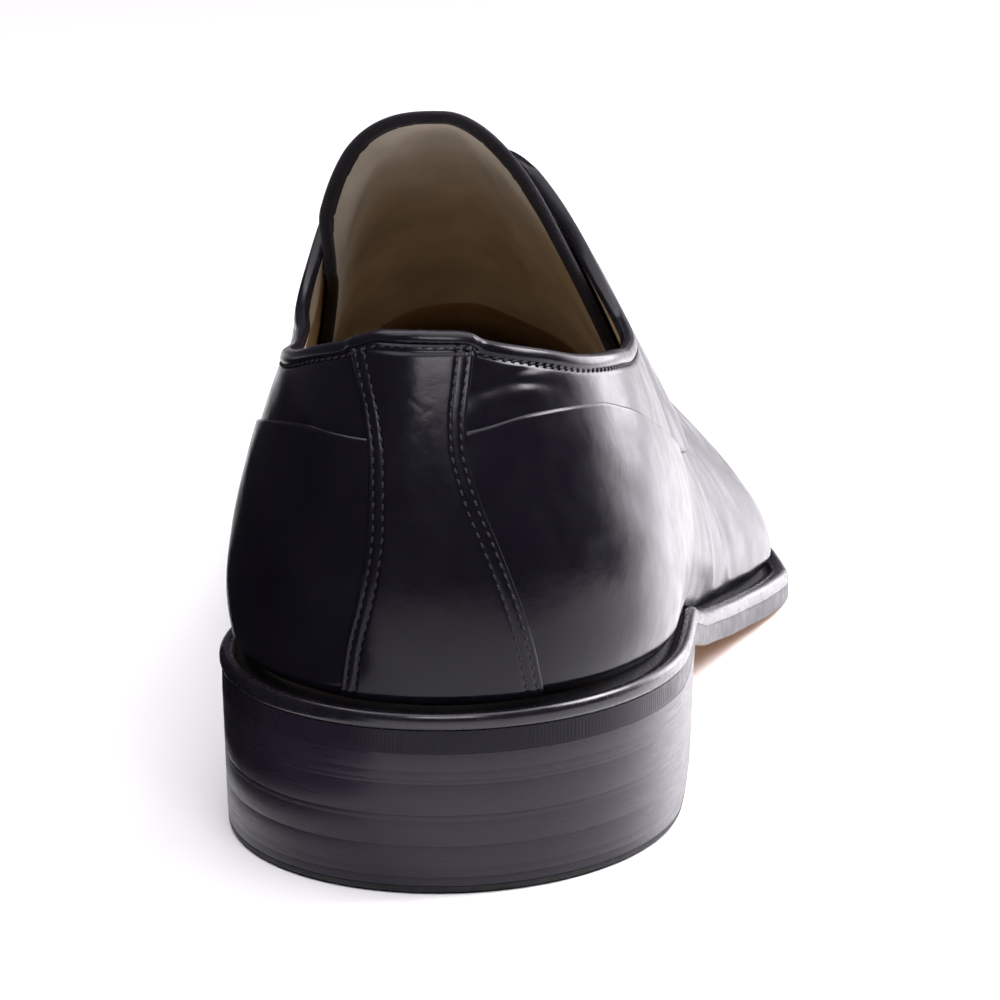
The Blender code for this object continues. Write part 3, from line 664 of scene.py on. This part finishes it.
def makeStrip():
    top = upper["toplineLateral"][0] - strip["topClear"]
    heights = np.linspace(feather(0.0) + strip["footClear"], top, strip["up"])
    outside, inside = [], []
    for z in heights:
        middle, half = stripEdge(z)
        edgeSteps = np.array(strip["insets"])
        flatSteps = np.linspace(edgeSteps[-1], 2 * half - edgeSteps[-1], strip["middleSteps"] + 2)[1:-1]
        inset = np.concatenate([edgeSteps, flatSteps, (2 * half - edgeSteps)[::-1]])
        place = stripPlace(z, middle - half + inset)
        inward = np.minimum(inset, 2 * half - inset)
        turned = blend(strip["edgeShare"], 1, edgeArc(inward / strip["edgeRound"]))
        flat = lastPoint(place)
        off = strip["inside"] + strip["thick"] * turned + strip["uneven"] * unevenness(flat)
        for high, middleX, slant, long, deep in strip["scuffs"]:
            x = inset - half - middleX
            ends = 1 - smoothStep(*strip["scuffEnds"], np.abs(x) / long)
            off = off - deep * bell((z - high - slant * x) / strip["scuffWide"]) * ends
        for row in strip["rows"]:
            off = off - strip["rowDeep"] * bell((inward - row) / strip["rowWide"])
        line = upper["toplineLateral"][0] - upper["stitchLine"] - strip["lineDrop"]
        off = off - strip["lineDeep"] * bell((z - line) / strip["lineWide"])
        off = off - strip["topThin"] * smoothStep(top - strip["topFade"], top, z)
        foot = footTuck(flat)
        outside.append(shell(place, off - foot))
        inside.append(shell(place, strip["inside"] - foot))
    rows = np.concatenate([np.array(outside).transpose(1, 0, 2), np.array(inside).transpose(1, 0, 2)[::-1]])
    piece = makePiece("backStrip", rows, ringFaces(rows, False), ["calf"], sharp=60)
    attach(piece, "root")
    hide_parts("back_strip")
    print("back strip", rows.shape)


makeStrip()


# Stitches: small waxed beads along tracks on the leather
stitch = {
    "long": 0.95, "wide": 0.42, "high": 0.36, "pitch": 1.58, "around": 8, "along": 5, "probe": 0.2,
    "stripEnds": (2.0, 3.0), "stripSamples": 120, "stripSunk": 0.06, "stripLean": 0.12,
    "collarMost": 0.5, "collarOff": -0.1, "collarOver": 0.82, "collarLean": 0.25, "collarEnd": 0.75,
}


def stitchRow(points, normals, lean):
    run = runAlong(points)
    count = max(int(run[-1] / stitch["pitch"]), 2)
    at = (np.arange(count) + 0.5) / count * run[-1]
    here, up = readAlong(at, run, points), unit(readAlong(at, run, normals))
    after, before = readAlong(at + stitch["probe"], run, points), readAlong(at - stitch["probe"], run, points)
    ahead = unit(after - before)
    cross = np.cross(up, ahead)
    ahead = ahead * math.cos(lean) + cross * math.sin(lean)
    return here, ahead, np.cross(up, ahead), up


def beadTemplate():
    points, faces, n = [], [], stitch["around"]
    for k in range(1, stitch["along"] + 1):
        turn = np.pi * k / (stitch["along"] + 1)
        for j in range(n):
            spin = 2 * np.pi * j / n
            points.append((-math.cos(turn), math.sin(turn) * math.cos(spin), math.sin(turn) * math.sin(spin)))
    for k in range(stitch["along"] - 1):
        faces += quads(k * n, (k + 1) * n, n)
    points += [(-1, 0, 0), (1, 0, 0)]
    first, lastRing = len(points) - 2, (stitch["along"] - 1) * n
    for j in range(n):
        faces.append((first, (j + 1) % n, j))
        faces.append((first + 1, lastRing + j, lastRing + (j + 1) % n))
    return np.array(points, float), faces


def makeStitches(name, tracks):
    base, baseFaces = beadTemplate()
    size = np.array([stitch["long"], stitch["wide"], stitch["high"]]) / 2
    points, faces = [], []
    for here, ahead, cross, up in tracks:
        for p, a, c, u in zip(here, ahead, cross, up):
            start = len(points) * len(base)
            points.append(p + (base * size) @ np.array([a, c, u]))
            faces += [tuple(start + k for k in face) for face in baseFaces]
    piece = makePiece(name, points, faces, ["thread"], sharp=180, weld=0.0001)
    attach(piece, "root")
    print(name, len(points), "stitches")


def stripTracks():
    tracks = []
    low, high = stitch["stripEnds"]
    heights = np.linspace(feather(0.0) + low, upper["toplineLateral"][0] - high, stitch["stripSamples"])
    for side in (-1, 1):
        for inset in strip["rows"]:
            edges = [(z, *stripEdge(z)) for z in heights]
            places = [stripPlace(z, np.array([middle + side * (half - inset)]))[0] for z, middle, half in edges]
            places = np.array(places)
            track = shell(places, strip["inside"] + strip["thick"] - stitch["stripSunk"])
            tracks.append(stitchRow(track, lastNormal(places), stitch["stripLean"] * side))
    return tracks


def collarTracks():
    tracks = []
    share = 1 - np.minimum(upper["stitchLine"] / topLength, stitch["collarMost"])
    places = blend(upperSeam, upperTop, share[:, None])
    off = stitch["collarOff"] + stitch["collarOver"] * stripCover(places)
    run = np.arange(tabColumn + int(upper["columns"][3] * stitch["collarEnd"]))
    for order in (run, -run):
        chosen = places[order]
        tracks.append(stitchRow(shell(chosen, off[order]), lastNormal(chosen), stitch["collarLean"]))
    return tracks


makeStitches("stripStitches", stripTracks())
makeStitches("collarStitches", collarTracks())

# Punched eyelets on the facings
eyelet = {
    "y": (117, 125.5, 134, 142), "fromEdge": 6.0, "fromMost": 0.6, "around": 28,
    # radius and height of the section, from the outside in, and where the hole starts
    "section": ((2.25, -0.5), (2.1, 0.12), (1.875, 0.3), (1.575, 0.3), (1.35, 0.14), (1.3, 0.07)),
    "holeFrom": 4,
}


def makeEyelets():
    points, faces, kinds, n = [], [], [], eyelet["around"]
    spin = np.linspace(0, 2 * np.pi, n, endpoint=False)
    section = eyelet["section"]
    for side in (1, -1):
        columns = np.nonzero((columnIndex >= tabColumn) & (upperTop[:, 0] * side > 0))[0]
        for y in eyelet["y"]:
            c = columns[np.argmin(np.abs(upperTop[columns, 1] - y))]
            share = 1 - min(eyelet["fromEdge"] / topLength[c], eyelet["fromMost"])
            place = blend(upperSeam[c], upperTop[c], share)[None]
            centre = worked(place, frontStep[c] * (1 - share))[0]
            up = lastNormal(place)[0]
            ahead = unit(np.cross(up, (1.0, 0.0, 0.0)))
            cross = np.cross(ahead, up)
            start = len(points) * n
            circle = ahead * np.cos(spin)[:, None] + cross * np.sin(spin)[:, None]
            points += [centre + up * high + radius * circle for radius, high in section]
            for r in range(len(section) - 1):
                faces += quads(start + r * n, start + (r + 1) * n, n)
                kinds += [0 if r < eyelet["holeFrom"] else 1] * n
            faces.append(tuple(start + (len(section) - 1) * n + k for k in range(n)))
            faces.append(tuple(start + k for k in reversed(range(n))))
            kinds += [1, 0]
    piece = makePiece("facingEyelets", points, faces, ["calf", "hole"], kinds, sharp=60)
    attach(piece, "root")
    print("eyelets", 2 * len(eyelet["y"]))


makeEyelets()

# Tongue: arched leaf with a felted edge and an olive lining
tongue = {
    "thick": 1.9, "gap": 0.6, "top": 89.0, "sideTop": 97.0, "side": 40.0, "front": 172.0,
    "across": 141, "along": 150, "alongBias": 1.25, "band": 2.7, "outerBand": 0.8,
    # rounded edge: share of the thickness, reach, and the parts that the outside and the lining take
    "soft": 0.55, "softReach": 1.2, "softOut": 0.7, "softIn": 0.8,
    # free top edge bends out, inner then outer side: how far, rise and fall across, how deep
    "flare": ((-1, 2.7, 0.0, 0.6, 0.8, 1.0, 11.0), (1, 0.5, 0.0, 0.35, 0.4, 0.62, 7.0)),
    # soft folds of the lining: middle, slant, width, depth
    "folds": ((-0.35, 0.5, 0.1, 0.5), (0.18, 0.35, 0.08, 0.6), (0.45, -0.2, 0.09, 0.4)),
    "foldFade": (2, 9),
    # unevenness of the felted edge: pace, depth
    "fray": ((12.9898, 0.06), (4.137, 0.04)),
}


def makeTongue():
    across = np.linspace(-1, 1, tongue["across"])
    along = np.linspace(0, 1, tongue["along"]) ** tongue["alongBias"]
    top = blend(tongue["top"], tongue["sideTop"], across ** 2)
    grid = np.stack([
        np.broadcast_to((across * tongue["side"])[:, None], (len(across), len(along))),
        blend(top[:, None], tongue["front"], along),
    ], axis=-1)
    outerOff = -(upper["wall"] + tongue["gap"])
    flat = shell(grid, outerOff - tongue["thick"])
    downTop, inSide = runAlong(flat, 1), runAlong(flat)
    inSide = np.minimum(inSide, inSide[-1:] - inSide)
    edge = np.minimum(downTop, inSide)
    soft = tongue["soft"] * tongue["thick"] * (1 - edgeArc(edge / tongue["softReach"]))
    flare = np.zeros(edge.shape)
    for side, far, start, full, fade, end, deep in tongue["flare"]:
        spread = smoothStep(start, full, side * across) * (1 - smoothStep(fade, end, side * across))
        flare += far * spread[:, None] * (1 - smoothStep(0, deep, downTop))
    outerOff = outerOff + flare
    outside = shell(grid, outerOff - tongue["softOut"] * soft)
    folds = np.zeros(edge.shape)
    for middle, slant, wide, deep in tongue["folds"]:
        folds += deep * bell((across[:, None] - middle - slant * along) / wide)
    folds *= smoothStep(*tongue["foldFade"], edge)
    inside = shell(grid, outerOff - tongue["thick"] + tongue["softIn"] * soft - folds)
    rows = np.concatenate([outside, inside[::-1]])
    kinds = np.zeros((len(rows), len(along) - 1), int)  # 0 outside, 1 felted edge, 2 lining
    order = np.arange(edge.size).reshape(edge.shape)
    frayed = sum(np.sin(order * pace) * deep for pace, deep in tongue["fray"])
    cell = (edge + np.where(downTop < inSide, frayed, 0))[:, :-1]
    kinds[len(across):] = np.where(cell[::-1] < tongue["band"], 1, 2)
    kinds[:len(across)] = np.where(downTop[:, :-1] < tongue["outerBand"], 1, 0)
    kinds = np.concatenate([kinds.reshape(-1), [1, 0]])
    piece = makePiece("tongueLeaf", rows, ringFaces(rows, False),
                      ["calf", "band", "tongueLining"], kinds, sharp=70)
    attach(piece, "root")
    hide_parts("tongue")
    print("tongue", rows.shape)


makeTongue()

# Insole with its sock
insole = {"clear": 3.1, "thick": 2.0, "counts": (40, 60, 50), "round": 0.5, "bend": 0.3}


def makeInsole():
    def ring(inset, up):
        plan = outline(lambda y: -insole["clear"] - inset, wholeMarks, insole["counts"])
        return atHeight(plan, feather(plan[:, 1]) + up)
    thick, turn = insole["thick"], insole["round"]
    bend = insole["bend"] * turn
    rows = np.array([ring(0, 0), ring(0, thick - turn), ring(bend, thick - bend), ring(turn, thick)])
    piece = makePiece("insoleSock", rows, plateFaces(rows), ["sock"], sharp=60)
    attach(piece, "root")
    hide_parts("insole")
    print("insole", rows.shape)


makeInsole()

# Welt: a rounded bead round the heel that flattens into the flush edge of the forefoot
welt = {
    "bead": 0.4, "counts": (110, 130, 110), "roundEnd": (84.0, 112.0), "joint": 0.02,
    # inset from the edge and height as a share, round the heel and at the forefoot
    "heelProfile": ((0.62, 0.0), (0.4, 0.04), (0.2, 0.13), (0.06, 0.28), (0.0, 0.48), (0.07, 0.68), (0.25, 0.84),
                    (0.55, 0.95), (0.95, 1.0), (1.4, 0.98), (1.85, 0.9), (2.25, 0.76), (2.6, 0.58)),
    "foreProfile": ((0.1, 0.0), (0.03, 0.03), (0.0, 0.12), (0.0, 0.28), (0.05, 0.5), (0.2, 0.68), (0.5, 0.84),
                    (0.95, 0.95), (1.5, 1.0), (2.1, 0.98), (2.65, 0.9), (3.1, 0.76), (3.4, 0.58)),
    # inset inside the last's edge and height as a share, under the upper
    "mattFrom": 12, "under": ((0.2, 0.5), (0.9, 0.5), (1.6, 0.98), (9.0, 0.98), (9.0, 0.0)),
}


def makeWelt():
    thick = bottomStack["weltThick"] + bottomStack["gap"] - welt["joint"]

    def layer(grow, share):
        plan = outline(grow, wholeMarks, welt["counts"])
        return atHeight(plan, weltUnder(plan[:, 1]) + welt["joint"] - bottomStack["gap"] + thick * share)
    rows = []
    for (heelInset, share), (foreInset, _) in zip(welt["heelProfile"], welt["foreProfile"]):
        def grow(y):
            rounded = 1 - smoothStep(*welt["roundEnd"], y)
            return soleMargin(y) - foreInset + (welt["bead"] + foreInset - heelInset) * rounded
        rows.append(layer(grow, share))
    rows += [layer(lambda y: -inset, share) for inset, share in welt["under"]]
    rows = np.array(rows)
    kinds = np.zeros((len(rows), rows.shape[1]), int)
    kinds[welt["mattFrom"]:-1] = 1
    piece = makePiece("weltBead", rows, ringFaces(rows, True), ["welt", "weltTop"], kinds, sharp=70)
    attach(piece, "root")
    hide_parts("welt")
    print("welt", rows.shape)


makeWelt()

# Outsole with fine upright ribs round the heel seat
outsole = {
    "counts": (440, 220, 120), "ribs": 92, "ribDeep": 0.05, "ribPower": 3, "ribFade": (56.0, 78.0),
    "ribLow": (0.0, 0.2), "ribHigh": (0.88, 0.96), "heelCorner": 0.08, "cornerFade": (74, 96),
    # worn ribs: what is left, where the wear starts and ends, and its waves as pace, start and weight
    "wornLeast": 0.35, "wornFade": (-0.6, 0.8), "wornWaves": ((0.31, 1.1, 1.0), (0.83, 0.0, 0.5)),
    # inset and share of the edge's height
    "profile": ((0.7, 0.0), (0.25, 0.07), (0.05, 0.18), (0.0, 0.3), (0.0, 0.88), (0.02, 0.95), (0.06, 1.0)),
}


def makeOutsole():
    station = stations(wholeMarks, outsole["counts"])
    station = np.concatenate([station, station[-2:0:-1]])
    # wheel marks round the heel, here and there worn away
    ribs = 0.5 - 0.5 * np.cos(2 * np.pi * station / last["heelQuarter"] * outsole["ribs"])
    wear = sum(weight * np.sin(station * pace + start) for pace, start, weight in outsole["wornWaves"])
    wave = ribs ** outsole["ribPower"]
    wave *= blend(outsole["wornLeast"], 1, smoothStep(*outsole["wornFade"], wear))
    wave *= 1 - smoothStep(*outsole["ribFade"], station)
    rows = []
    for inset, share in outsole["profile"]:
        def grow(y):
            return soleMargin(y) - inset * blend(outsole["heelCorner"], 1, smoothStep(*outsole["cornerFade"], y))
        plan = outline(grow, wholeMarks, outsole["counts"])
        full = outline(lambda y: grow(y) - outsole["ribDeep"], wholeMarks, outsole["counts"])
        strength = wave * smoothStep(*outsole["ribLow"], share) * (1 - smoothStep(*outsole["ribHigh"], share))
        plan = blend(plan, full, strength[:, None])
        rows.append(atHeight(plan, soleUnder(plan[:, 1]) + bottomStack["soleThick"] * share))
    rows = np.array(rows)
    half = rows.shape[1] // 2
    kinds = np.repeat([0, 1, 0], [(len(rows) - 1) * rows.shape[1], half, half])
    piece = makePiece("outsoleEdge", rows, plateFaces(rows), ["soleEdge", "soleUnder"], kinds)
    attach(piece, "root")
    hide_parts("outsole")
    print("outsole", rows.shape)


makeOutsole()

# Stacked heel: lifts with hairline joints, and a wearing piece with a dark tread edge
heel = {
    "lifts": 4, "topPiece": 2.4, "taper": 0.7, "breast": 76.0, "counts": (64, 20),
    "jointDeep": 0.012, "jointHigh": 0.06, "jointGap": 0.01,
    "lines": (3.75, 7.3, 10.9, 11.7, 16.1, 17.0, 18.3), "lineDeep": 0.008, "lineWide": 0.06, "lineClear": 0.4,
    # wearing piece: inset and height from the floor up to the tread's edge, above which it is inked
    "wearProfile": ((0.6, 0.0), (0.2, 0.18), (0.03, 0.5), (0.03, 0.95), (0.1, 1.0), (0.0, 1.1)),
    "inkedFrom": 4,
}


def heelRing(inset, z):
    marks = (0.0, last["heelQuarter"], sideStart + heel["breast"] - last["heelCentre"])
    return atHeight(outline(lambda y: soleMargin(y) - inset, marks, heel["counts"]), z)


def makeHeel():
    tall = float(soleUnder(0.0))
    step = (tall - heel["topPiece"]) / heel["lifts"]
    cuts = [heel["topPiece"] + step * k for k in range(heel["lifts"])] + [tall]
    taper, deep, high, gap = heel["taper"], heel["jointDeep"], heel["jointHigh"], heel["jointGap"]
    profile = [*heel["wearProfile"], (0.0, cuts[0] - high), (deep, cuts[0] - gap)]
    rows = np.array([heelRing(taper + inset, z) for inset, z in profile])
    length, tread = rows.shape[1], heel["inkedFrom"]
    kinds = np.repeat([0, 1, 0, 1], [tread * length, (len(rows) - 1 - tread) * length, length // 2, length // 2])
    piece = makePiece("heelWearPiece", rows, plateFaces(rows), ["rubber", "stack"], kinds)
    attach(piece, "root")
    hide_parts("heel_top_piece")
    for k in range(heel["lifts"]):
        under, over = cuts[k], cuts[k + 1] - gap
        clear, wide = heel["lineClear"], heel["lineWide"]
        profile = [(under, deep), (under + high, 0.0)]
        for line in heel["lines"]:
            if under + clear < line < over - clear:
                profile += [(line - wide, 0.0), (line, heel["lineDeep"]), (line + wide, 0.0)]
        profile += [(over - high, 0.0), (over, deep)]
        rows = []
        for z, inset in profile:
            ring = heelRing(taper * (1 - z / tall) + inset, z)
            if k == heel["lifts"] - 1:
                roof = soleUnder(ring[:, 1]) - gap
                ring[:, 2] = under + (ring[:, 2] - under) * (roof - under) / (over - under)
            rows.append(ring)
        rows = np.array(rows)
        number = heel["lifts"] - k
        piece = makePiece(f"heelLift{number}", rows, plateFaces(rows), ["stack"])
        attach(piece, "root")
        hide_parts(f"heel_lift_{number}")
    print("heel", heel["lifts"], "lifts")


makeHeel()

# Floor, light and camera
studio = {
    "floorSize": 8.0, "floorHigh": -0.0002, "floorColour": (0.9, 0.9, 0.9, 1.0), "floorRough": 0.3,
    "skyBright": (1.0, 0.95, 1.02), "skyDark": (0.012, 0.0112, 0.0135), "skyStrength": 6.8,
    "skyAhead": (0.38, 0.73), "skyRight": (0.1, 0.9),
    # name, place, aim, size, power, colour
    "lamps": (
        ("sideBox", (0.9, 1.15, 0.3), (0.0, 0.0, 0.05), (0.7, 0.5), 4.0, (1.0, 0.95, 1.025)),
        ("ceiling", (0.0, 0.2, 2.2), (0.0, 0.2, 0.0), (3.0, 2.6), 88.0, (1.0, 0.975, 1.01)),
        ("overhead", (0.1, -1.0, 0.95), (0.0, -0.05, 0.06), (0.8, 0.4), 10.0, (1.0, 0.97, 1.01)),
        ("floorWash", (0.35, 0.05, 0.35), (0.35, 0.1, 0.0), (0.25, 0.3), 5.0, (1.0, 0.97, 1.01)),
    ),
    # dark card beside the heel, seen in reflections only
    "cardAcross": -0.052, "cardAlong": (-0.19, -0.06), "cardUp": (0.0002, 0.07),
    "cardColour": (0.002, 0.002, 0.002, 1.0), "cardRough": 1.0,
}
view = {
    "place": (97.6935, -711.5688, 219.8412), "aim": (0.8, 96.2, 36.8), "focalPixels": 5200.0,
    "frameWidth": 1000.0, "sensor": 36.0, "clip": (0.01, 50),
}


def pointAt(made, place, aim):
    made.location = place
    made.rotation_euler = (Vector(aim) - Vector(place)).to_track_quat("-Z", "Y").to_euler()


def addLamp(name, place, aim, size, power, colour):
    data = bpy.data.lights.new(name, "AREA")
    data.shape = "RECTANGLE"
    data.size, data.size_y = size
    data.energy = power
    data.color = colour
    pointAt(addObject(name, data), place, aim)


def addSheet(name, corners, colour, rough):
    mesh = bpy.data.meshes.new(name)
    mesh.from_pydata(corners, [], [(0, 1, 2, 3)])
    made, tree, shader = newMaterial(name)
    setInputs(tree, shader, {"Base Color": colour, "Roughness": rough})
    mesh.materials.append(made)
    sheet = addObject(name, mesh)
    return sheet


def smoothRange(tree, source, span):
    made = addNode(tree, "ShaderNodeMapRange", {"Value": source, "From Min": span[0], "From Max": span[1]})
    made.interpolation_type = "SMOOTHSTEP"
    return made.outputs["Result"]


# Bright sky ahead and to the right, dim elsewhere
def makeSky():
    world = bpy.data.worlds.new("studioSky")
    bpy.context.scene.world = world
    world.use_nodes = True
    tree = world.node_tree
    where = tree.nodes.new("ShaderNodeTexCoord").outputs["Generated"]
    split = addNode(tree, "ShaderNodeSeparateXYZ", {"Vector": where})
    ahead = smoothRange(tree, split.outputs["Y"], studio["skyAhead"])
    right = smoothRange(tree, split.outputs["X"], studio["skyRight"])
    both = addNode(tree, "ShaderNodeMath", {0: ahead, 1: right})
    both.operation = "MULTIPLY"
    sky = addRamp(tree, both.outputs[0], (0.0, 1.0), (studio["skyDark"], studio["skyBright"]))
    setInputs(tree, tree.nodes["Background"], {"Color": sky, "Strength": studio["skyStrength"]})


def makeStudio():
    size, high = studio["floorSize"] / 2, studio["floorHigh"]
    floor = [(-size, -size, high), (size, -size, high), (size, size, high), (-size, size, high)]
    addSheet("paleFloor", floor, studio["floorColour"], studio["floorRough"])
    x, (y0, y1), (z0, z1) = studio["cardAcross"], studio["cardAlong"], studio["cardUp"]
    corners = [(x, y0, z0), (x, y1, z0), (x, y1, z1), (x, y0, z1)]
    card = addSheet("darkCard", corners, studio["cardColour"], studio["cardRough"])
    card.visible_camera = card.visible_shadow = card.visible_diffuse = False
    for lamp in studio["lamps"]:
        addLamp(*lamp)
    makeSky()
    print("studio", len(studio["lamps"]), "lamps")


def makeCamera():
    data = bpy.data.cameras.new("photoCamera")
    data.sensor_width = view["sensor"]
    data.lens = view["focalPixels"] / view["frameWidth"] * view["sensor"]
    data.clip_start, data.clip_end = view["clip"]
    camera = addObject("photoCamera", data)
    pointAt(camera, toFrame(view["place"]), toFrame(view["aim"]))
    bpy.context.scene.camera = camera
    bpy.context.scene.view_settings.view_transform = "Standard"
    print("camera", tuple(camera.location))


makeStudio()
makeCamera()
